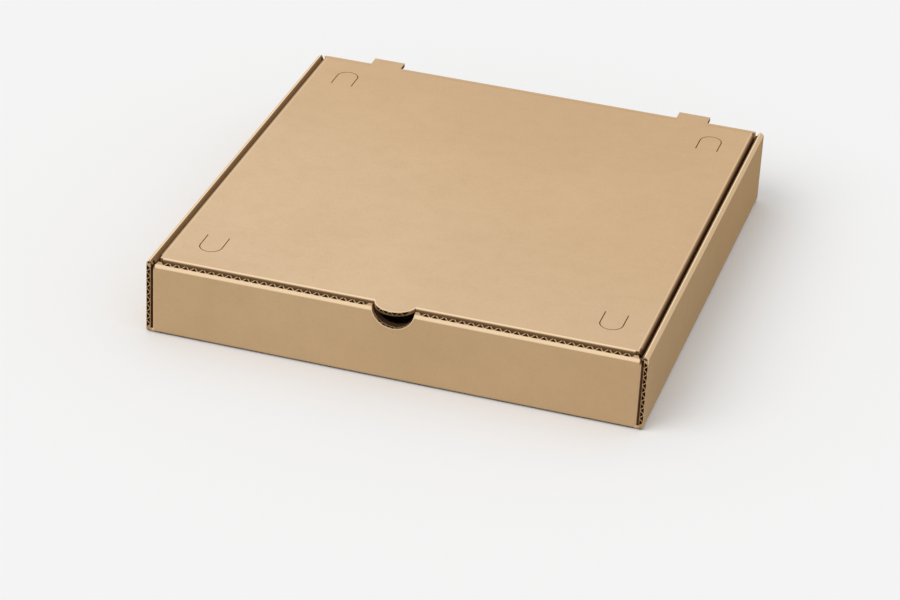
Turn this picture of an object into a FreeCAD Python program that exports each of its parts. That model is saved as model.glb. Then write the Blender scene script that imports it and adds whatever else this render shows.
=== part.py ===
import FreeCAD, Part
import os
import re

# A folded carton of corrugated board: a square tray and a lid on one long crease.
# Frame: origin at the middle of the whole part's footprint, underside at z = 0,
# front wall towards -Y, hinge crease along X at the top of the back wall.

os.makedirs("parts", exist_ok=True)
doc = FreeCAD.newDocument("carton")

# Sizes, in millimetres and degrees
sizes = [
    ("outer_length", 356.0),
    ("outer_depth", 356.0),
    ("outer_height", 57.0),
    ("board", 3.0),
    ("liner", 0.3),
    ("flute_pitch", 6.35),
    ("cell_depth", 4.0),
    ("crease_radius", 2.5),
    ("layer_slot", 0.3),
    ("lip_depth", 8.0),
    ("crest_width", 0.5),
    ("crest_offset", 0.1),
    ("outer_bevel_run", 2.6),
    ("outer_bevel_drop", 2.2),
    ("inner_bevel_run", 2.9),
    ("inner_bevel_drop", 5.0),
    ("wall_drop", 1.7),
    ("inner_panel_length", 186.0),
    ("corner_flap_length", 80.0),
    ("lock_tab_length", 30.0),
    ("lock_tab_offset", 55.0),
    ("corner_fold_radius", 1.5),
    ("corner_gap", 1.5),
    ("gap_depth", 2.1),
    ("bevel_height", 2.6),
    ("bevel_depth", 1.0),
    ("edge_rise", 1.3),
    ("corner_relief", 4.7),
    ("notch_width", 30.6),
    ("notch_depth", 14.8),
    ("lid_clearance", 0.4),
    ("front_setback", 4.5),
    ("front_fold_radius", 1.5),
    ("side_fold_radius", 1.8),
    ("front_flap_depth", 40.0),
    ("front_flap_lean", 4.0),
    ("front_flap_inset", 4.0),
    ("side_flap_depth", 38.0),
    ("side_flap_inset", 6.0),
    ("flap_taper", 6.0),
    ("bulge_width", 29.0),
    ("bulge_reach", 10.5),
    ("cutout_depth", 15.5),
    ("tab_width", 24.0),
    ("tab_reach", 10.0),
    ("tab_offset", 122.0),
    ("hole_clearance", 0.4),
    ("hinge_gap", 0.3),
    ("slit_width", 0.7),
    ("slit_span", 16.0),
    ("slit_reach", 23.0),
    ("slit_offset", 143.5),
    ("slit_start", 131.0),
]
sheet = doc.addObject("Spreadsheet::Sheet", "Sizes")
for row, (name, value) in enumerate(sizes, 1):
    sheet.set("A%d" % row, name)
    sheet.set("B%d" % row, str(value))
    sheet.setAlias("B%d" % row, name)
doc.recompute()
names = [name for name, value in sizes]
word = re.compile(r"[a-z_]+")


def bind(item, prop, text):
    named = word.sub(lambda m: ("Sizes." if m.group(0) in names else "") + m.group(0), text)
    item.setExpression(prop, named)


def size(name):
    return float(sheet.get(name))


def turn(item, axis, angle=90):
    # An axis is set with any angle before that angle is bound to a size
    item.Placement = FreeCAD.Placement(FreeCAD.Vector(), FreeCAD.Rotation(FreeCAD.Vector(*axis), angle))


def place(item, x, y, z, angle=None, axis=(1, 0, 0)):
    if angle is not None:
        turn(item, axis)
        bind(item, "Placement.Rotation.Angle", angle)
    bind(item, "Placement.Base.x", x)
    bind(item, "Placement.Base.y", y)
    bind(item, "Placement.Base.z", z)


def block(name, x0, x1, y0, y1, z0, z1):
    item = doc.addObject("Part::Box", name)
    bind(item, "Length", "(%s) - (%s)" % (x1, x0))
    bind(item, "Width", "(%s) - (%s)" % (y1, y0))
    bind(item, "Height", "(%s) - (%s)" % (z1, z0))
    place(item, x0, y0, z0)
    return item


def across(side, x0, x1):
    return (x0, x1) if side > 0 else ("-(%s)" % x1, "-(%s)" % x0)


def around(centre, reach):
    return "(%s - %s)" % (centre, reach), "(%s + %s)" % (centre, reach)


def ordered(inwards, outer, inner_end):
    return (outer, inner_end) if inwards == "+" else (inner_end, outer)


def minus(side):
    return "-" if side < 0 else ""


def fuse(name, items):
    item = doc.addObject("Part::MultiFuse", name)
    item.Shapes = items
    return item


def cut(name, base, tool):
    item = doc.addObject("Part::Cut", name)
    item.Base = base
    item.Tool = tool
    return item


# Positions that several pieces share
half = "outer_length / 2"
front = "(-outer_depth / 2 - (tab_reach - bulge_reach + front_setback) / 2)"
back = "(outer_depth / 2 - (tab_reach - bulge_reach + front_setback) / 2)"
middle = "(-(tab_reach - bulge_reach + front_setback) / 2)"
top = "outer_height"
arch = "(outer_height - board)"
layer = "(board - layer_slot / 2)"
inner = "(outer_length / 2 - board - layer_slot / 2)"
inside = "(outer_length / 2 - 2 * board)"
wall_top = "(outer_height - wall_drop)"
lid_half = "(outer_length / 2 - 2 * board - lid_clearance)"
lid_front = "(" + front + " + front_setback)"

# Tray shell: base, side panels, front and back walls, with rounded creases below
envelope = block("Envelope", "-" + half, half, front, back, "0", arch)
doc.recompute()
creased = doc.addObject("Part::Fillet", "Creased")
creased.Base = envelope
low = []
for number, edge in enumerate(envelope.Shape.Edges, 1):
    if edge.BoundBox.ZMax < 0.001:
        low.append((number, size("crease_radius"), size("crease_radius")))
creased.Edges = low
hollow_half = "(%s - %s)" % (half, layer)
hollow = block("Hollow", "-" + hollow_half, hollow_half, front + " + board", back + " - board", "board", top)
inner_face = front + " + board"
strip = block("FrontStrip", "-" + inner, inner, front, inner_face, arch + " - board", wall_top)
shell = fuse("Shell", [cut("Hollowed", creased, hollow), strip])

# Cuts in the shell: wall tops, corner gaps, rounded wall ends and base slots
tools = []
drop_low = arch + " - layer_slot"
tools.append(block("BackDrop", "-" + inner, inner, back + " - board", back + " + 1", drop_low, top))
wall_end = "(" + inner + " - corner_gap)"
slot_end = half + " - " + layer
for side, word_x in ((-1, "Left"), (1, "Right")):
    for word_y, face, inwards in (("Front", front, "+"), ("Back", back, "-")):
        # A narrow slot through the board, wider at the outer face, and a rounded end to the wall
        outside = "%s - (%s1)" % (face, inwards)
        edge = "%s %s corner_fold_radius" % (face, inwards)
        for name, x, depth_share in (("Slot", inner, "board"), ("Gap", wall_end, "gap_depth")):
            x0, x1 = across(side, x, slot_end)
            y0, y1 = ordered(inwards, outside, "%s %s %s" % (face, inwards, depth_share))
            tools.append(block(name + word_x + word_y, x0, x1, y0, y1, "board", top))
        x0, x1 = across(side, "(%s - corner_fold_radius)" % wall_end, wall_end + " + layer_slot / 2")
        y0, y1 = ordered(inwards, outside, edge)
        square = block("Square" + word_x + word_y, x0, x1, y0, y1, "board", top)
        post = doc.addObject("Part::Cylinder", "Post" + word_x + word_y)
        bind(post, "Radius", "corner_fold_radius")
        bind(post, "Height", "outer_height")
        place(post, "%s(%s - corner_fold_radius)" % (minus(side), wall_end), edge, "0")
        tools.append(cut("Round" + word_x + word_y, square, post))
    for step in ("-", "+"):
        x0, x1 = across(side, inside + " - layer_slot", inner + " + layer_slot / 2")
        y0, y1 = around("%s %s lock_tab_offset" % (middle, step), "(lock_tab_length / 2 + layer_slot)")
        tools.append(block("BaseSlot" + word_x, x0, x1, y0, y1, "-1", "board + 1"))

# Thumb notch in the front wall: a round cut from its top edge
notch_radius = "((notch_width * notch_width / 4 + notch_depth * notch_depth) / (2 * notch_depth))"
notch = doc.addObject("Part::Cylinder", "Notch")
bind(notch, "Radius", notch_radius)
bind(notch, "Height", "board + 2")
place(notch, "0", front + " + board + 1", wall_top + " - notch_depth + " + notch_radius, "90")
tools.append(notch)

# Top edge of the front wall, crushed by the die: a steep outer slant, then the raw edge rising inwards
def slant(name, y, z, run, rise):
    # A slab whose inner side passes through (y, z) with the slope rise over run
    item = doc.addObject("Part::Box", name)
    bind(item, "Length", "2 * " + inner)
    item.Width = 8
    item.Height = 8
    slope = "atan((%s) / (%s))" % (run, rise)
    y_start = "%s - 8 * cos(%s) - 4 * sin(%s)" % (y, slope, slope)
    z_start = "%s + 8 * sin(%s) - 4 * cos(%s)" % (z, slope, slope)
    place(item, "-" + inner, y_start, z_start, "-" + slope)
    return item


crushed_y = front + " + bevel_depth"
crushed_z = wall_top + " - edge_rise"
tools.append(slant("OuterSlant", crushed_y, crushed_z, "bevel_depth", "bevel_height"))
tools.append(slant("RawSlant", front + " + board", wall_top, "board - bevel_depth", "edge_rise"))
for side, word_x in ((-1, "Left"), (1, "Right")):
    # Corners of the front wall cut off at 45 degrees, clear of the rolled side walls
    diamond = doc.addObject("Part::Box", "Diamond" + word_x)
    diamond.Length = 20
    diamond.Height = 20
    bind(diamond, "Width", "board + 2")
    corner = "(%s - corner_relief - 5)" % inner
    x = corner if side > 0 else "-%s - 20 * sqrt(2)" % corner
    place(diamond, x, front + " - 1", wall_top + " + 5", "45", (0, 1, 0))
    x0, x1 = across(side, inner + " - 2 * corner_relief", inner + " + layer_slot / 2")
    low_z = wall_top + " - 2 * corner_relief"
    relief = doc.addObject("Part::Common", "Relief" + word_x)
    relief.Base = diamond
    relief.Tool = block("ReliefZone" + word_x, x0, x1, front + " - 1", front + " + board", low_z, top)
    tools.append(relief)
walls = cut("Walls", shell, fuse("WallCuts", tools))

def shoulder(name, x, fall_x, run, drop):
    # A slab along a side wall, over the slope that falls from (x, top) by drop over run, to one side
    item = doc.addObject("Part::Box", name)
    item.Length = 16
    item.Height = 8
    bind(item, "Width", "outer_depth")
    slope = "atan(%s / %s)" % (drop, run)
    x_start = "%s - 8 * cos(%s)" % (x, slope)
    z_start = "%s %s 8 * sin(%s)" % (top, "+" if fall_x > 0 else "-", slope)
    place(item, x_start, front, z_start, minus(fall_x) + slope, (0, 1, 0))
    return item


# Rolled side walls: arch over both layers, lip, inner panel, lock tabs and corner flaps. The roll
# is crushed along two creases, so it has an outer bevel, a narrow crest and a steep inner side.
pieces = [walls]
crest = "(outer_length / 2 - board - crest_offset)"
for side, word_x in ((-1, "Left"), (1, "Right")):
    roll = doc.addObject("Part::Cylinder", "Arch" + word_x)
    roll.Angle = 180
    bind(roll, "Radius", "board")
    bind(roll, "Height", "outer_depth")
    place(roll, "%s(outer_length / 2 - board)" % minus(side), back, arch, "90")
    x0, x1 = across(side, inside, inner)
    y0 = front + " + board + layer_slot"
    y1 = back + " - board - layer_slot"
    lip = block("Lip" + word_x, x0, x1, y0, y1, top + " - lip_depth", arch)
    y0, y1 = around(middle, "inner_panel_length / 2")
    inner_panel = block("InnerPanel" + word_x, x0, x1, y0, y1, "board + layer_slot", arch)
    outer_crest = "%s(%s + crest_width)" % (minus(side), crest)
    inner_crest = minus(side) + crest
    creases = [
        shoulder("OuterBevel" + word_x, outer_crest, side, "outer_bevel_run", "outer_bevel_drop"),
        shoulder("InnerBevel" + word_x, inner_crest, -side, "inner_bevel_run", "inner_bevel_drop"),
    ]
    rolled = fuse("RolledOver" + word_x, [roll, lip, inner_panel])
    pieces.append(cut("Rolled" + word_x, rolled, fuse("RollCreases" + word_x, creases)))
    for step in ("-", "+"):
        y0, y1 = around("%s %s lock_tab_offset" % (middle, step), "lock_tab_length / 2")
        pieces.append(block("LockTab" + word_x, x0, x1, y0, y1, "board / 5", "board + layer_slot"))
    low_z = "board + layer_slot"
    high_z = top + " - lip_depth - 2 * layer_slot"
    y0 = front + " + corner_fold_radius"
    y1 = front + " + board + corner_flap_length"
    pieces.append(block("CornerFlapFront" + word_x, x0, x1, y0, y1, low_z, high_z))
    y0 = back + " - board - corner_flap_length"
    y1 = back + " - corner_fold_radius"
    pieces.append(block("CornerFlapBack" + word_x, x0, x1, y0, y1, low_z, high_z))

# Back wall's upper strip, up to the hinge crease
pieces.append(block("BackStrip", "-" + lid_half, lid_half, back + " - board", back, arch + " - board", top))
folded = fuse("Folded", pieces)


def mitre(name, offset):
    # A slab beside the 45 degree plane through the hinge crease
    item = doc.addObject("Part::Box", name)
    bind(item, "Length", "outer_length")
    bind(item, "Width", "3 * board")
    bind(item, "Height", "3 * board")
    y = back + " - 2 * board * sqrt(0.5) - %s * sqrt(0.5)" % offset
    z = top + " - 2 * board * sqrt(0.5) + %s * sqrt(0.5)" % offset
    place(item, "-" + half, y, z, "45")
    return item


# Holes below the crease that the lid's back tabs are cut from, and the mitred crease itself
openings = []
for side, word_x in ((-1, "Left"), (1, "Right")):
    x0, x1 = across(side, *around("tab_offset", "(tab_width / 2 + hole_clearance)"))
    low_z = top + " - tab_reach - 1"
    openings.append(block("TabHole" + word_x, x0, x1, back + " - board - 1", back + " + 1", low_z, top + " + 1"))
crease = doc.addObject("Part::Common", "CreaseZone")
crease.Base = mitre("MitreAbove", "(-hinge_gap / 2)")
y0 = back + " - 2 * board"
crease.Tool = block("CreaseBand", "-" + lid_half, lid_half, y0, back + " + 1", arch + " - 1", top + " + 9")
openings.append(crease)

# Open ends of the flutes
def cells(name, start, end, floor, low_y=None, high_y=None):
    # Rows of tapered pockets on both sides of the wave; along X, board thickness in Y, mouth at z = 0
    pitch = size("flute_pitch")
    low_y = low_y or size("liner")
    high_y = high_y or size("board") - size("liner")
    count = int((end - start) / pitch)
    first = (start + end - count * pitch) / 2
    shapes = []
    for index in range(count):
        x = first + index * pitch
        outlines = [(x + pitch / 2, high_y, low_y + 0.25)]
        if index < count - 1:
            outlines.append((x + pitch, low_y, high_y - 0.25))
        for centre, wide_y, narrow_y in outlines:
            wide = pitch / 2 - 0.9
            narrow = 0.35
            bottom = floor(centre)
            ends = [(-wide, wide_y), (wide, wide_y), (narrow, narrow_y), (-narrow, narrow_y)]
            points = [FreeCAD.Vector(centre + px, py, bottom) for px, py in ends]
            face = Part.Face(Part.makePolygon(points + points[:1]))
            shapes.append(face.extrude(FreeCAD.Vector(0, 0, 1 - bottom)))
    item = doc.addObject("Part::Feature", name)
    item.Shape = Part.makeCompound(shapes)
    return item


depth = size("cell_depth")
notch_half = size("notch_width") / 2
front_y = -size("outer_depth") / 2 - (size("tab_reach") - size("bulge_reach") + size("front_setback")) / 2
back_y = front_y + size("outer_depth")
height = size("outer_height")
board = size("board")
inner_x = size("outer_length") / 2 - board - size("layer_slot") / 2
drop_z = height - size("wall_drop")


def shallow(x):
    return -depth


def under_notch(x):
    return -depth - size("notch_depth")


def upright(out):
    # Local X up, local Y across the panel, local Z out of the panel's end
    return FreeCAD.Rotation(FreeCAD.Vector(0, 0, 1), FreeCAD.Vector(out, 0, 0), FreeCAD.Vector(0, out, 0), "XYZ")


def seat(item, x, y, z, rotation=None):
    item.Placement = FreeCAD.Placement(FreeCAD.Vector(x, y, z), rotation or FreeCAD.Rotation())
    return item


def tipped(angle):
    return FreeCAD.Rotation(FreeCAD.Vector(1, 0, 0), angle)


flutes = []
row_end = inner_x - size("corner_relief")
crushed = size("bevel_depth") + 0.15
opened = board + 0.2
for name, start, end, floor, low_y, high_y in (
    ("WallFlutesLeft", -row_end, -notch_half - 0.3, shallow, crushed, opened),
    ("WallFlutesRight", notch_half + 0.3, row_end, shallow, crushed, opened),
    ("NotchFlutes", -notch_half + 0.5, notch_half - 0.5, under_notch, None, None),
):
    # Along the wall's top the inner liner is torn lower, so the inner cells open into the box
    wall_cells = cells(name, start, end, floor, low_y, high_y)
    flutes.append(seat(wall_cells, 0, front_y, drop_z))
up = FreeCAD.Vector(0, 0, 1)
tab_half = size("tab_width") / 2
roll_x = size("outer_length") / 2 - board
for side in (-1, 1):
    hole_cells = cells("HoleFlutes", -tab_half, tab_half, shallow)
    hole_z = height - size("tab_reach") - 1
    flutes.append(seat(hole_cells, side * size("tab_offset"), back_y - board, hole_z))
    for end_y, out in ((front_y, -1), (back_y, 1)):
        end_cells = cells("SideFlutes", 2.2, height - board + 0.5, shallow)
        panel_x = side * (size("outer_length") / 2 - board / 2) - out * board / 2
        flutes.append(seat(end_cells, panel_x, end_y, 0, upright(out)))
        # Three curved cells where the board rolls over, thinner towards the steep inner side
        rings = []
        for start_angle, reach in ((4, 0.7 * board), (64, 0.53 * board), (124, 0.42 * board)):
            ring = Part.makeCylinder(reach, depth + 1, FreeCAD.Vector(), up, 52)
            ring = ring.cut(Part.makeCylinder(0.2 * board, depth + 1))
            ring.rotate(FreeCAD.Vector(), up, start_angle if side > 0 else 180 - start_angle - 52)
            rings.append(ring)
        roll_cells = doc.addObject("Part::Feature", "RollFlutes")
        roll_cells.Shape = Part.makeCompound(rings)
        roll_y = front_y + depth if out < 0 else back_y + 1
        flutes.append(seat(roll_cells, side * roll_x, roll_y, height - board, tipped(90)))

tray_cuts = fuse("TrayCuts", openings)
tray_open = cut("TrayOpen", folded, tray_cuts)
tray_flutes = doc.addObject("Part::Compound", "TrayFlutes")
tray_flutes.Links = flutes
tray = cut("Tray", tray_open, tray_flutes)
tray.Label = "tray"

# Lid panel between its folds
plate_half = "(%s - side_fold_radius)" % lid_half
plate = block("LidPanel", "-" + plate_half, plate_half, lid_front + " + front_fold_radius", back, arch, top)
panel = cut("LidPlate", plate, mitre("MitreBelow", "(-3 * board + hinge_gap / 2)"))

# Front flap: rounded fold and a tapered board that leans inwards, with a round cut-out at the fold
lean_up = "cos(front_flap_lean * 1 deg)"
lean_in = "sin(front_flap_lean * 1 deg)"
fold_y = "(" + lid_front + " + front_fold_radius)"
fold_z = "(outer_height - front_fold_radius)"
flap_half = "(%s - front_flap_inset)" % lid_half
flap_run = "(front_flap_depth - front_fold_radius)"
fold = doc.addObject("Part::Cylinder", "FrontFold")
bind(fold, "Radius", "front_fold_radius")
bind(fold, "Height", "2 * " + flap_half)
place(fold, "-" + flap_half, fold_y, fold_z, "90", (0, 1, 0))


def tapered(name, width, thick, height, taper_x, taper_z):
    # A board on edge: local Y runs from its narrow free edge up to the fold
    item = doc.addObject("Part::Wedge", name)
    bind(item, "Xmin", taper_x)
    bind(item, "Xmax", "%s - %s" % (width, taper_x))
    bind(item, "X2max", width)
    bind(item, "Zmin", taper_z)
    bind(item, "Zmax", "%s - %s" % (thick, taper_z))
    bind(item, "Z2max", thick)
    bind(item, "Ymax", height)
    item.Ymin = 0
    item.X2min = 0
    item.Z2min = 0
    return item


flap = tapered("FrontFlap", "2 * " + flap_half, "board", flap_run, "flap_taper", "0")
leaf_y = fold_y + " + (board - front_fold_radius) * %s + %s * %s" % (lean_up, flap_run, lean_in)
leaf_z = fold_z + " + (board - front_fold_radius) * %s - %s * %s" % (lean_in, flap_run, lean_up)
place(flap, "-" + flap_half, leaf_y, leaf_z, "90 + front_flap_lean")
bulge_radius = "((bulge_width * bulge_width / 4 + bulge_reach * bulge_reach) / (2 * bulge_reach))"
rise = "(%s - bulge_reach)" % bulge_radius
cutout_half = "(bulge_width / 2 + layer_slot)"
cutout_radius = "((%s * %s + cutout_depth * cutout_depth) / (2 * cutout_depth))" % (cutout_half, cutout_half)
lift = "(%s - cutout_depth)" % cutout_radius
cutout = doc.addObject("Part::Cylinder", "CutOut")
bind(cutout, "Radius", cutout_radius)
bind(cutout, "Height", "3 * board")
cutout_y = fold_y + " - %s * %s + board * %s" % (lift, lean_in, lean_up)
cutout_z = fold_z + " + %s * %s + board * %s" % (lift, lean_up, lean_in)
place(cutout, "0", cutout_y, cutout_z, "90 + front_flap_lean")
fold_cut = cut("FrontFoldCut", fold, cutout)
flap_cut = cut("FrontFlapCut", flap, cutout)

# Bulge over the notch, left flat in the lid's plane
bulge = doc.addObject("Part::Cylinder", "Bulge")
bind(bulge, "Radius", bulge_radius)
bind(bulge, "Height", "board")
place(bulge, "0", lid_front + " + " + rise, arch)
lid_pieces = [panel, fold_cut, flap_cut, bulge]

# Side flaps with their folds, and back tabs that stand out past the crease
side_run = "(outer_depth - front_setback - 2 * side_flap_inset)"
side_end = back + " - side_flap_inset"
side_drop = "side_flap_depth - side_fold_radius"
for side, word_x in ((-1, "Left"), (1, "Right")):
    side_fold = doc.addObject("Part::Cylinder", "SideFold" + word_x)
    side_fold.Angle = 180
    bind(side_fold, "Radius", "side_fold_radius")
    bind(side_fold, "Height", side_run)
    place(side_fold, minus(side) + plate_half, side_end, "(outer_height - side_fold_radius)", "90")
    side_flap = tapered("SideFlap" + word_x, "board", side_run, side_drop, "0", "flap_taper")
    x0, x1 = across(side, lid_half + " - board", lid_half)
    place(side_flap, x0, side_end, "outer_height - side_flap_depth", "90")
    x0, x1 = across(side, *around("tab_offset", "tab_width / 2"))
    tab = block("Tab" + word_x, x0, x1, back + " - 2 * board", back + " + tab_reach", arch, top)
    lid_pieces += [side_fold, side_flap, tab]
lid_folded = fuse("LidFolded", lid_pieces)

# Four U-shaped slits near the corners, open towards the middle of the lid
slits = []
lid_middle = "(" + middle + " + front_setback / 2)"
slit_bend = "(slit_start + slit_reach - slit_span / 2)"
for side in (-1, 1):
    for end in (-1, 1):
        layers = []
        for part_name, change in (("SlitOuter", "+ slit_width"), ("SlitInner", "- slit_width")):
            wide = "((slit_span %s) / 2)" % change
            x0, x1 = across(side, *around("slit_offset", wide))
            y0, y1 = (lid_middle + " + " + y for y in across(end, "slit_start", slit_bend))
            legs = block(part_name, x0, x1, y0, y1, arch + " - 1", top + " + 1")
            bend = doc.addObject("Part::Cylinder", part_name + "Bend")
            bind(bend, "Radius", wide)
            bind(bend, "Height", "board + 2")
            bend_y = "%s + %s%s" % (lid_middle, minus(end), slit_bend)
            place(bend, minus(side) + "slit_offset", bend_y, arch + " - 1")
            layers.append(fuse(part_name + "Whole", [legs, bend]))
        slits.append(cut("Slit", layers[0], layers[1]))

# Open flute ends of the lid: bulge, front flap, side flaps and tabs
doc.recompute()
lid_flutes = []
lid_y = front_y + size("front_setback")
radius = (size("bulge_width") ** 2 / 4 + size("bulge_reach") ** 2) / (2 * size("bulge_reach"))


def round_edge(x):
    return -depth - (radius - (radius * radius - min(x * x, 190)) ** 0.5)


edge = cells("BulgeFlutes", -size("bulge_width") / 2, size("bulge_width") / 2, round_edge)
lid_flutes.append(seat(edge, 0, lid_y - size("bulge_reach"), height - board, tipped(90)))
lid_x = size("outer_length") / 2 - 2 * board - size("lid_clearance")
flap_end = lid_x - size("front_flap_inset") - size("flap_taper")
edge = cells("FlapFlutes", -flap_end, flap_end, shallow)
flap_foot = flap.Placement.Base
lid_flutes.append(seat(edge, 0, flap_foot.y, flap_foot.z, tipped(180 + size("front_flap_lean"))))
flap_rise = size("side_flap_depth") - size("side_fold_radius")


def tapered_end(x):
    return -depth - size("flap_taper") * (1 - x / flap_rise)


for side in (-1, 1):
    edge = cells("TabFlutes", -tab_half, tab_half, shallow)
    tab_end = back_y + size("tab_reach")
    lid_flutes.append(seat(edge, side * size("tab_offset"), tab_end, height, tipped(-90)))
    for end_y, out in ((lid_y + size("side_flap_inset"), -1), (back_y - size("side_flap_inset"), 1)):
        edge = cells("SideFlapFlutes", 1, flap_rise - 1, tapered_end)
        flap_x = side * (lid_x - board / 2) - out * board / 2
        lid_flutes.append(seat(edge, flap_x, end_y, height - size("side_flap_depth"), upright(out)))
lid_open = cut("LidOpen", lid_folded, fuse("LidCuts", slits))
flute_ends = doc.addObject("Part::Compound", "LidFlutes")
flute_ends.Links = lid_flutes
lid = cut("Lid", lid_open, flute_ends)
lid.Label = "lid"
doc.recompute()

# Every object is sound before the two pieces are written
for item in doc.Objects:
    if "Invalid" in item.State or "Error" in item.State:
        raise RuntimeError("%s: %s" % (item.Label, item.State))
    if hasattr(item, "Shape") and (item.Shape.isNull() or not item.Shape.isValid()):
        raise RuntimeError("%s has a bad shape" % item.Label)
for item in (tray, lid):
    print(item.Label, "solids", len(item.Shape.Solids), "volume", round(item.Shape.Volume))
    print(item.Shape.BoundBox)
    item.Shape.exportStep("parts/%s.step" % item.Label)
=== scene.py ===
import math

import bmesh
import bpy
from mathutils import Matrix, Vector


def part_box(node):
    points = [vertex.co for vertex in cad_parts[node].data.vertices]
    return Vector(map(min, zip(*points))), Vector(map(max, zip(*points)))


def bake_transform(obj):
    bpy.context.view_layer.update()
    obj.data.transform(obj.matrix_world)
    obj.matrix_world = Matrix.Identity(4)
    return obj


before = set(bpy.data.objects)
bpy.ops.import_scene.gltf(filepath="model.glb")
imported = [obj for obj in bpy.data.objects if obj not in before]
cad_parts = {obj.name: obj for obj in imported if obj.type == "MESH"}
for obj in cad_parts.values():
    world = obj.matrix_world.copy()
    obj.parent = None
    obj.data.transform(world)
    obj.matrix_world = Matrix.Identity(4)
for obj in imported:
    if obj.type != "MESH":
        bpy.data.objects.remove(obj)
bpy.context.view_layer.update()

# The tray. Brown kraft board, two liners glued to a fluted sheet, die-cut and folded up from one blank:
# base, front and back walls, and side walls rolled over at the top. Its outside is machine-finished
# paper, with faint clouds and short fibres. Its crushed edges and rolls carry painted highlights, and
# its gaps, creases and flute hollows painted shade.

# Half the width over which one tone of the paper turns into the next, in metres
cut_soft = 0.00004
crease_soft = 0.0001
fold_soft = 0.0002


class Link:
    """A shader socket that ordinary arithmetic works on."""

    def __init__(self, finish, socket):
        self.finish = finish
        self.socket = socket

    def sum(self, operation, *values):
        return self.finish.node("ShaderNodeMath", {"operation": operation}, dict(enumerate(values)))

    def __add__(self, other):
        return self.sum("ADD", self, other)

    def __radd__(self, other):
        return self.sum("ADD", other, self)

    def __sub__(self, other):
        return self.sum("SUBTRACT", self, other)

    def __rsub__(self, other):
        return self.sum("SUBTRACT", other, self)

    def __mul__(self, other):
        return self.sum("MULTIPLY", self, other)

    def __rmul__(self, other):
        return self.sum("MULTIPLY", other, self)

    def __pow__(self, other):
        return self.sum("POWER", self, other)

    def __or__(self, other):
        return self.sum("MAXIMUM", self, other)

    def __abs__(self):
        return self.sum("ABSOLUTE", self)


class Finish:
    """One material and the nodes that colour it."""

    def __init__(self, name):
        self.material = bpy.data.materials.new(name)
        self.material.use_nodes = True
        self.tree = self.material.node_tree
        self.shader = self.tree.nodes["Principled BSDF"]
        self.place = self.node("ShaderNodeTexCoord", {}, {}, "Object")
        self.x, self.y, self.z = (
            self.node("ShaderNodeSeparateXYZ", {}, {"Vector": self.place}, axis) for axis in "XYZ"
        )

    def node(self, kind, settings, inputs, output=0):
        made = self.tree.nodes.new(kind)
        for name, value in settings.items():
            setattr(made, name, value)
        for name, value in inputs.items():
            self.join(value, made.inputs[name])
        return Link(self, made.outputs[output])

    def join(self, value, socket):
        if isinstance(value, Link):
            self.tree.links.new(value.socket, socket)
        else:
            socket.default_value = value

    def feed(self, name, value):
        self.join(value, self.shader.inputs[name])

    def noise(self, scale, detail, roughness, stretch=(1.0, 1.0, 1.0)):
        vector = self.node("ShaderNodeMapping", {}, {"Vector": self.place, "Scale": stretch})
        sockets = {"Vector": vector, "Scale": scale, "Detail": detail, "Roughness": roughness}
        return self.node("ShaderNodeTexNoise", {}, sockets)

    def between(self, value, low, high, out_low=0.0, out_high=1.0):
        settings = {"clamp": True, "interpolation_type": "SMOOTHSTEP"}
        sockets = {
            "Value": value,
            "From Min": low,
            "From Max": high,
            "To Min": out_low,
            "To Max": out_high,
        }
        return self.node("ShaderNodeMapRange", settings, sockets)

    def over(self, value, edge, soft=cut_soft):
        return self.between(value, edge - soft, edge + soft)

    def under(self, value, edge, soft=cut_soft):
        return 1.0 - self.over(value, edge, soft)

    def zone(self, value, low, high, soft=cut_soft):
        return self.over(value, low, soft) * self.under(value, high, soft)

    def blend(self, share, first, second):
        """The first tone, covered by the second as far as share says."""
        return self.node("ShaderNodeMix", {"data_type": "RGBA"}, {0: share, 6: first, 7: second}, 2)


def srgb(red, green, blue):
    """The linear colour of one given in 8-bit steps."""
    steps = [step / 255 for step in (red, green, blue)]
    linear = [s / 12.92 if s <= 0.04045 else ((s + 0.055) / 1.055) ** 2.4 for s in steps]
    return (*linear, 1.0)


# Tray tones at the front left and at the back right: the far one is darker, a painted light falloff
wall_near_lit = srgb(217, 184, 142)
wall_far_shaded = srgb(209, 173, 127)
deep_brown = srgb(176, 143, 104)
fibre_brown = srgb(140, 108, 72)
# Pale fibres in the liner; the same tone is also a painted highlight on the rolls' tops and at the
# lid's folds
pale_fibre_and_highlight = srgb(246, 215, 175)
# A paler tone for painted highlights on crushed edges, crests and rims
highlight_kraft = srgb(252, 224, 186)
medium_brown = srgb(176, 142, 102)
# A darker brown: painted shade on the rolls' inner sides, and the colour of the slits' lips
shade_and_lip_brown = srgb(150, 112, 72)
# Dark brown painted shade for gaps, folds and the hollows of the flutes
painted_shade_brown = srgb(76, 42, 14)
# Brown painted shade for the flute hollows at the side walls' raw ends
end_shade_brown = srgb(104, 64, 28)

# How far, and at what slant, the painted light falloff runs across the sheet
falloff_reach = 0.26
falloff_lean = 0.6
relief_depth = 0.0002
relief_strength = 0.12
smoothest = 0.74
roughest = 0.88
paper_specular = 0.2
along_flutes = (1.0, 0.4, 1.0)
fibre_forward = (1.0, 0.22, 1.0)
fibre_sideways = (0.22, 1.0, 1.0)


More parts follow.
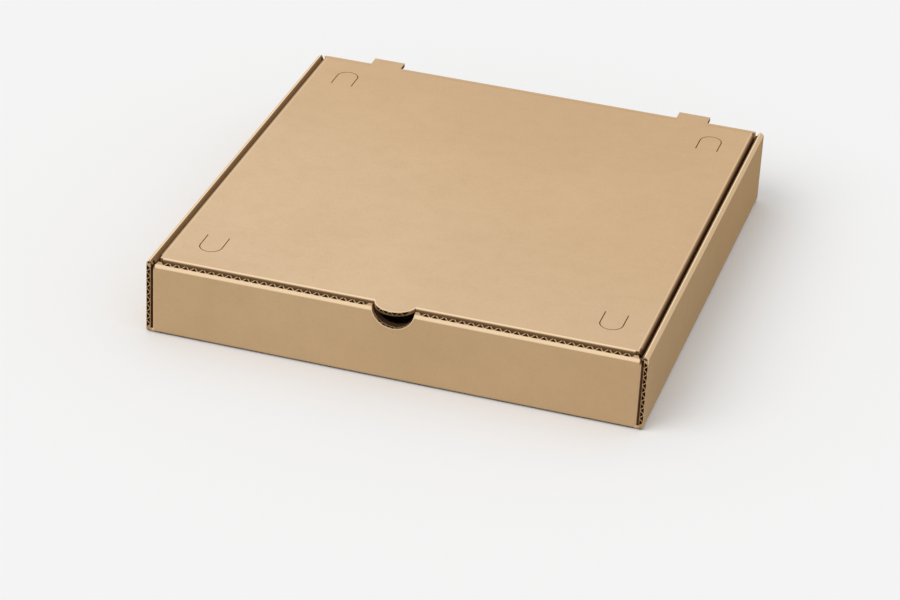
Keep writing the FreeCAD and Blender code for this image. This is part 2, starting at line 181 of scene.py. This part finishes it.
def pulp(paper, near, far):
    """Colour of the liner over the sheet, with a painted light falloff from near to far, and the faint
    relief of its fibres.
    """
    broad = paper.noise(scale=9.0, detail=2.0, roughness=0.5)
    cloud = paper.noise(scale=70.0, detail=4.0, roughness=0.6)
    grain = paper.noise(scale=650.0, detail=3.0, roughness=0.7, stretch=along_flutes)
    strands = paper.noise(scale=1500.0, detail=1.0, roughness=0.4, stretch=fibre_forward)
    slivers = paper.noise(scale=1200.0, detail=1.0, roughness=0.4, stretch=fibre_sideways)
    # Each pattern, the levels between which it comes up, how far it then shows, and its tone
    layers = (
        (broad, 0.35, 0.65, 0.11, deep_brown),
        (cloud, 0.35, 0.75, 0.1, deep_brown),
        (grain, 0.45, 0.75, 0.12, deep_brown),
        (strands, 0.72, 0.79, 0.22, fibre_brown),
        (slivers, 0.72, 0.79, 0.22, pale_fibre_and_highlight),
    )
    # Painted light falloff: from the near tone at the front left to the darker far tone at the back
    # right
    falloff_across = paper.x * falloff_lean + paper.y
    tone = paper.blend(paper.between(falloff_across, -falloff_reach, falloff_reach), near, far)
    for pattern, low, high, share, fleck in layers:
        tone = paper.blend(paper.between(pattern, low, high, 0.0, share), tone, fleck)
    relief = cloud * 0.6 + grain * 0.4 + strands * 0.2
    sockets = {"Strength": relief_strength, "Distance": relief_depth, "Height": relief}
    paper.feed("Normal", paper.node("ShaderNodeBump", {}, sockets))
    paper.feed("Roughness", paper.between(grain, 0.3, 0.7, smoothest, roughest))
    paper.feed("Specular IOR Level", paper_specular)
    return tone


def wear(node_name, finish):
    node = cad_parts[node_name]
    node.data.materials.clear()
    node.data.materials.append(finish.material)


tray_low, tray_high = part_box("tray")
front, ground = tray_low[1:]
right, back, top = tray_high
board = 0.003
liner = 0.00035
raw_rim = 0.00022
wall_top = top - 0.0017
wall_inside = right - board
crushed_depth = 0.001
crushed_height = 0.0026
edge_rise = 0.0013
strip_foot = wall_top - edge_rise - crushed_height
notch_radius = 0.01531
notch_height = wall_top - 0.0148 + notch_radius
corner_gap = 0.0015
cell_depth = 0.0046

tray_board = Finish("kraft_tray")
tray_tone = pulp(tray_board, wall_near_lit, wall_far_shaded)
outward = abs(tray_board.x)
height = tray_board.z
from_front = tray_board.y - front
from_end = (back - front) / 2 - abs(tray_board.y - (back + front) / 2)

# Painted highlights on the liner over the crushed top of the front wall, over its two ends and over the
# rolls' creases
strip_start = strip_foot + 0.0003
strip_fade = 0.0005
wall_end_inner = right - 0.0055
wall_end_outer = right - 0.0043
wall_end_depth = 0.0009
wall_end_fade = 0.0003
crest_foot = top - 0.00025
bevel_foot = top - 0.0023
bevel_inner = wall_inside + 0.0002
bevel_share = 0.5
wall_end_share = 0.6
front_strip_highlight = tray_board.over(height, strip_start, strip_fade)
front_strip_highlight = front_strip_highlight * tray_board.under(from_front, crushed_depth, crease_soft)
wall_end_highlight = tray_board.zone(outward, wall_end_inner, wall_end_outer, fold_soft)
wall_end_highlight = wall_end_highlight * tray_board.under(from_front, wall_end_depth, wall_end_fade)
roll_crest_highlight = tray_board.over(height, crest_foot, crease_soft)
roll_bevel_highlight = tray_board.over(height, bevel_foot, fold_soft)
roll_bevel_highlight = roll_bevel_highlight * tray_board.over(outward, bevel_inner, crease_soft)
painted_highlight = front_strip_highlight | roll_crest_highlight | wall_end_highlight * wall_end_share
tray_tone = tray_board.blend(roll_bevel_highlight * bevel_share, tray_tone, pale_fibre_and_highlight)
tray_tone = tray_board.blend(painted_highlight, tray_tone, highlight_kraft)

# Painted shade on the rolls' steep inner sides, and darker painted shade on the wall's turned inner
# face just below them
steep_inner = wall_inside - board - 0.0001
steep_outer = wall_inside - 0.00015
steep_foot = top - 0.0078
steep_full = top - 0.0045
roll_foot_top = top - 0.0038
roll_foot_fade = 0.0006
steep_share = 0.9
roll_foot_share = 0.8
roll_inside_shade = tray_board.zone(outward, steep_inner, steep_outer, crease_soft)
roll_inside_shade = roll_inside_shade * tray_board.between(height, steep_foot, steep_full)
roll_foot_shade = roll_inside_shade * tray_board.under(height, roll_foot_top, roll_foot_fade)
tray_tone = tray_board.blend(roll_inside_shade * steep_share, tray_tone, shade_and_lip_brown)
tray_tone = tray_board.blend(roll_foot_shade * roll_foot_share, tray_tone, painted_shade_brown)

# Inside the board along the front wall's raw top and round the thumb notch, between the flutes' waves:
# the raw cut face in the medium's brown, and painted shade in the flutes' hollows
top_slope = edge_rise / (board - crushed_depth)
skin_slope = crushed_depth / crushed_height
core_depth = board - 0.00005
core_end = right - 0.0062
cut_reach = 0.003
cut_share = 0.7
below_edge = wall_top - edge_rise + (from_front - crushed_depth) * top_slope - height
from_notch = (tray_board.x ** 2.0 + (height - notch_height) ** 2.0) ** 0.5 - notch_radius
from_liner = from_front - (((height - strip_foot) * skin_slope) | 0.0)
front_core = tray_board.zone(from_liner, liner, core_depth) * tray_board.under(outward, core_end)
uncut = tray_board.over(below_edge, cut_reach) * tray_board.over(from_notch, raw_rim)
cut_top = front_core * (1.0 - uncut)
front_cell_shade = front_core * tray_board.over(below_edge, raw_rim)
front_cell_shade = front_cell_shade * tray_board.over(from_notch, raw_rim)
tray_tone = tray_board.blend(cut_top * cut_share, tray_tone, medium_brown)

# Painted shade in the gaps at the corners, between the front and back walls and the side walls' ends
gap_inner = wall_inside - corner_gap - 0.0009
gap_outer = wall_inside + 0.0002
gap_start = 0.0006
gap_dark = 0.0016
gap_end = 0.004
gap_top = wall_top + 0.0002
gap_shade = tray_board.zone(outward, gap_inner, gap_outer, fold_soft)
gap_shade = gap_shade * tray_board.between(from_end, gap_start, gap_dark)
gap_shade = gap_shade * tray_board.under(from_end, gap_end)
gap_shade = gap_shade * tray_board.under(height, gap_top)

# The side walls' raw ends: two liners with the flutes between, and the roll turned over above them; the
# cut face in the medium's brown, and painted shade in the flutes' hollows behind it
core_inner = wall_inside + 0.0003
core_outer = right - liner + 0.0001
roll_middle = top - board
end_core_top = roll_middle + 0.0006
roll_heart = 0.0015
roll_layer = 0.00215
layer_inner = wall_inside + 0.0005
cap_radius = board - liner - 0.0003
cap_gain = 1.4
end_core = tray_board.zone(outward, core_inner, core_outer)
from_roll = ((outward - wall_inside) ** 2.0 + (height - roll_middle) ** 2.0) ** 0.5
roll_cell_shade = tray_board.under(from_roll, roll_layer) * tray_board.over(outward, layer_inner)
roll_cell_shade = tray_board.under(from_roll, roll_heart) | roll_cell_shade
end_cell_shade = end_core * tray_board.under(height, end_core_top) | roll_cell_shade
end_cell_shade = end_cell_shade * tray_board.zone(from_end, raw_rim, cell_depth)
roll_cap = tray_board.over(height, roll_middle) * tray_board.under(from_roll, cap_radius)
cut_ends = (end_core | roll_cap * cap_gain) * tray_board.under(from_end, raw_rim)
tray_tone = tray_board.blend(cut_ends * cut_share, tray_tone, medium_brown)
tray_tone = tray_board.blend(end_cell_shade, tray_tone, end_shade_brown)
# Painted shade in the front wall's flute hollows and in the corner gaps
tray_tone = tray_board.blend(front_cell_shade | gap_shade, tray_tone, painted_shade_brown)

# A painted highlight round the notch, where the die cut through
rim_width = 0.0006
rim_depth = 0.0004
rim_share = 0.8
notch_rim_highlight = tray_board.under(from_notch, rim_width, fold_soft) * tray_board.under(from_front, rim_depth)
tray_tone = tray_board.blend(notch_rim_highlight * rim_share, tray_tone, highlight_kraft)
tray_board.feed("Base Color", tray_tone)
wear("tray", tray_board)

# The lid. The same blank, carried on past the crease along the back wall: a flat panel with its
# front flap and side flaps folded down inside the tray, a round thumb tab over the notch, two back
# tabs and four U-shaped slits. The folds carry painted shade as they turn down, and the cut edges show
# the flutes, with painted shade in their hollows.

# Lid tones at the front left and at the back right: the far one is darker, a painted light falloff
kraft_near_lit = srgb(219, 189, 153)
kraft_far_shaded = srgb(206, 173, 133)
# Olive brown painted shade on the lid's folds
fold_shade_olive = srgb(118, 86, 50)

lid_half = right - 0.0064
lid_front = front + 0.0045
lid_under = top - board
side_fold = 0.0018
front_fold = 0.0015
bulge_radius = 0.01526
bulge_middle = lid_front + 0.00476
tab_end = 0.186
slit_middle = (lid_front + back) / 2
slit_offset = 0.1435
slit_radius = 0.008
slit_bend = 0.146
slit_leg = 0.015
flap_lean = math.radians(4)
cutout_radius = 0.01482
cutout_back = lid_front + 0.00454
cutout_height = top - 0.00197

lid_board = Finish("kraft_lid")
lid_tone = pulp(lid_board, kraft_near_lit, kraft_far_shaded)
outward = abs(lid_board.x)
height = lid_board.z
from_fold = lid_board.y - lid_front

# A painted highlight, a thin pale line where each fold starts
fold_start = lid_half - side_fold
line_inner = fold_start - 0.0012
line_outer = fold_start - 0.0003
line_half = 0.0004
beside_bulge = 0.0145
panel_level = top - 0.0003
side_line_share = 0.4
line_share = 0.8
line_side = lid_board.zone(outward, line_inner, line_outer, fold_soft)
line_front = lid_board.zone(from_fold, front_fold - line_half, front_fold + line_half, fold_soft)
line_front = line_front * lid_board.over(outward, beside_bulge)
fold_highlight = line_side * side_line_share | line_front
fold_highlight = fold_highlight * lid_board.over(height, panel_level, crease_soft)
lid_tone = lid_board.blend(fold_highlight * line_share, lid_tone, pale_fibre_and_highlight)

# Then painted shade on the fold as it turns down, olive and darker deeper down at the sides, as far as
# the gap beside it can be looked into
side_hidden = top - 0.0095
side_seen = top - 0.0055
front_hidden = top - 0.0055
front_seen = top - 0.0035
side_turn_start = fold_start - 0.0005
side_turn_end = lid_half - 0.0007
front_turn_start = top - 0.0002
front_turn_end = top - 0.0011
front_turn_back = front_fold + 0.0002
deep_outward = lid_half - 0.0008
deep_outward_fade = 0.0006
deep_height = top - 0.0008
deep_height_fade = 0.0004
fold_share = 0.9
deep_share = 0.8
side_reach = lid_board.between(height, side_hidden, side_seen)
front_reach = lid_board.between(height, front_hidden, front_seen)
side_fold_shade = lid_board.between(outward, side_turn_start, side_turn_end) * side_reach
front_fold_shade = lid_board.under(from_fold, front_turn_back, fold_soft)
front_fold_shade = front_fold_shade * (1.0 - lid_board.between(height, front_turn_end, front_turn_start))
front_fold_shade = front_fold_shade * front_reach
deep_side_shade = lid_board.over(outward, deep_outward, deep_outward_fade)
deep_side_shade = deep_side_shade * lid_board.under(height, deep_height, deep_height_fade) * side_reach
lid_tone = lid_board.blend((side_fold_shade | front_fold_shade) * fold_share, lid_tone, fold_shade_olive)
lid_tone = lid_board.blend(deep_side_shade * deep_share, lid_tone, painted_shade_brown)

# A painted highlight along the thumb tab's rim, and painted shade inside the board at the thumb tab's
# and the back tabs' cut edges
bulge_rim_end = 0.0016
bulge_rim_width = 0.0008
bulge_rim_share = 0.7
bulge_cells_end = 0.0002
tab_start = back + 0.0004
from_bulge = bulge_radius - (lid_board.x ** 2.0 + (lid_board.y - bulge_middle) ** 2.0) ** 0.5
in_board = lid_board.zone(height, lid_under + liner, top - liner)
bulge_rim_highlight = lid_board.over(height, top - liner)
bulge_rim_highlight = bulge_rim_highlight * lid_board.under(from_bulge, bulge_rim_width, fold_soft)
bulge_rim_highlight = bulge_rim_highlight * lid_board.under(from_fold, bulge_rim_end, fold_soft)
bulge_cell_shade = in_board * lid_board.over(from_bulge, raw_rim)
bulge_cell_shade = bulge_cell_shade * lid_board.under(from_fold, bulge_cells_end)
tab_cell_shade = in_board * lid_board.zone(lid_board.y, tab_start, tab_end - raw_rim)
lid_tone = lid_board.blend(bulge_rim_highlight * bulge_rim_share, lid_tone, highlight_kraft)
lid_tone = lid_board.blend(bulge_cell_shade | tab_cell_shade, lid_tone, painted_shade_brown)

# Painted shade at the front flap's round cut-out, just behind the notch: its raw edge, in the shade of
# the lid
cutout_dark = cutout_radius + 0.0003
cutout_fade = cutout_radius + 0.003
flap_top = lid_under - 0.0001
flap_depth = 0.012
cutout_share = 0.92
down_flap = (height - cutout_height) * math.cos(flap_lean)
down_flap = down_flap - (lid_board.y - cutout_back) * math.sin(flap_lean)
from_cutout = (lid_board.x ** 2.0 + down_flap ** 2.0) ** 0.5
cutout_shade = 1.0 - lid_board.between(from_cutout, cutout_dark, cutout_fade)
cutout_shade = cutout_shade * lid_board.under(height, flap_top)
cutout_shade = cutout_shade * lid_board.under(from_fold, flap_depth)
lid_tone = lid_board.blend(cutout_shade * cutout_share, lid_tone, painted_shade_brown)

# The slits' lips, a darker brown: two straight legs and a half circle each
lip_width = 0.0004
lip_share = 0.8
past_bend = abs(lid_board.y - slit_middle) - slit_bend
from_slit = ((outward - slit_offset) ** 2.0 + (past_bend | 0.0) ** 2.0) ** 0.5
slit_lips = lid_board.under(abs(from_slit - slit_radius), lip_width, crease_soft)
slit_lips = slit_lips * lid_board.over(past_bend, -slit_leg, fold_soft)
lid_tone = lid_board.blend(slit_lips * lip_share, lid_tone, shade_and_lip_brown)
lid_board.feed("Base Color", lid_tone)
wear("lid", lid_board)

# The hinge crease. Here the liner is scored, not cut, so it bends over the top of the back wall
# and holds the lid. The two tab holes part it into three strips of paper.

tab_middle = 0.122
tab_half = 0.0124
paper_thickness = 0.00022
crease_reach = 0.0035
crease_radius = 0.0012
crease_corner = 0.0005

crease_board = Finish("kraft_crease")
crease_board.feed("Base Color", pulp(crease_board, kraft_near_lit, kraft_far_shaded))


def crease_strip(name, start, end):
    strip = bmesh.new()
    profile = (
        (back - crease_reach, top),
        (back - crease_radius, top),
        (back, top - crease_radius),
        (back, top - crease_reach),
    )
    line = [strip.verts.new((start, y, z)) for y, z in profile]
    for first, second in zip(line, line[1:]):
        strip.edges.new((first, second))
    bmesh.ops.bevel(
        strip,
        geom=line[1:3],
        offset=crease_corner,
        affect="VERTICES",
        segments=3,
        profile=0.5,
        material=-1,
    )
    swept = bmesh.ops.extrude_edge_only(strip, edges=strip.edges[:])
    moved = [v for v in swept["geom"] if isinstance(v, bmesh.types.BMVert)]
    bmesh.ops.translate(strip, verts=moved, vec=(end - start, 0, 0))
    bmesh.ops.recalc_face_normals(strip, faces=strip.faces[:])
    if sum(f.normal.z + f.normal.y for f in strip.faces) < 0:
        bmesh.ops.reverse_faces(strip, faces=strip.faces[:])
    mesh = bpy.data.meshes.new(name)
    strip.to_mesh(mesh)
    strip.free()
    mesh.materials.append(crease_board.material)
    piece = bpy.data.objects.new(name, mesh)
    bpy.context.collection.objects.link(piece)
    skin = piece.modifiers.new("Thickness", "SOLIDIFY")
    skin.thickness = paper_thickness
    skin.offset = 1.0
    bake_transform(piece)


crease_strip("crease_left", -lid_half, -tab_middle - tab_half)
crease_strip("crease_middle", -tab_middle + tab_half, tab_middle - tab_half)
crease_strip("crease_right", tab_middle + tab_half, lid_half)

# Where it stands: a plain floor that looks pale to the camera and throws only a little light back
# up at the box, so its walls stay deeper in tone than its lid, and that keeps the soft shadow.

floor_half = 6.0
floor_drop = 0.0002
floor_pale = (0.90, 0.90, 0.90, 1.0)
floor_dim = (0.33, 0.30, 0.25, 1.0)

floor_shape = bmesh.new()
bmesh.ops.create_grid(floor_shape, x_segments=1, y_segments=1, size=floor_half)
bmesh.ops.translate(floor_shape, verts=floor_shape.verts[:], vec=(0, 0, ground - floor_drop))
floor_mesh = bpy.data.meshes.new("floor")
floor_shape.to_mesh(floor_mesh)
floor_shape.free()
floor = bpy.data.objects.new("floor", floor_mesh)
bpy.context.collection.objects.link(floor)
floor_paint = Finish("pale_floor")
seen, mirrored, through = (
    floor_paint.node("ShaderNodeLightPath", {}, {}, kind)
    for kind in ("Is Camera Ray", "Is Glossy Ray", "Is Transmission Ray")
)
floor_paint.feed("Base Color", floor_paint.blend(seen | mirrored | through, floor_dim, floor_pale))
floor_paint.feed("Roughness", 1.0)
floor_paint.feed("Specular IOR Level", 0.0)
floor_mesh.materials.append(floor_paint.material)

# Soft studio light: an even pale surround and one broad light, high on the left of the front.

surround_colour = (1.0, 1.0, 1.0, 1.0)
surround_strength = 0.75
key_energy = 1.14
key_spread = math.radians(50)
key_side = Vector((-0.483, -0.511, 0.710))

world = bpy.data.worlds.new("studio")
bpy.context.scene.world = world
world.use_nodes = True
surround = world.node_tree.nodes["Background"]
surround.inputs["Color"].default_value = surround_colour
surround.inputs["Strength"].default_value = surround_strength

lamp = bpy.data.lights.new("key", "SUN")
lamp.energy = key_energy
lamp.angle = key_spread
key = bpy.data.objects.new("key", lamp)
bpy.context.collection.objects.link(key)
key.matrix_world = key_side.to_track_quat("Z", "Y").to_matrix().to_4x4()

# The camera, placed from the photograph's own perspective: to the right of the front, looking down,
# and turned a little about its own line of sight.

azimuth = math.radians(15.7)
elevation = math.radians(29.6)
roll = math.radians(3.1)
looked_at = Vector((0.020, -0.110, 0.030))
distance = 2.212
lens = 127.5
sensor = 36.0

flat = math.cos(elevation)
away = Vector((math.sin(azimuth) * flat, -math.cos(azimuth) * flat, math.sin(elevation)))
level = Vector((math.cos(azimuth), math.sin(azimuth), 0))
upright = away.cross(level)
camera_right = level * math.cos(roll) + upright * math.sin(roll)
camera_up = upright * math.cos(roll) - level * math.sin(roll)
camera_data = bpy.data.cameras.new("camera")
camera_data.sensor_width = sensor
camera_data.lens = lens
camera = bpy.data.objects.new("camera", camera_data)
bpy.context.collection.objects.link(camera)
turned_to = Matrix((camera_right, camera_up, away)).transposed().to_4x4()
camera.matrix_world = Matrix.Translation(looked_at + away * distance) @ turned_to
bpy.context.scene.camera = camera
bpy.context.scene.view_settings.view_transform = "Standard"
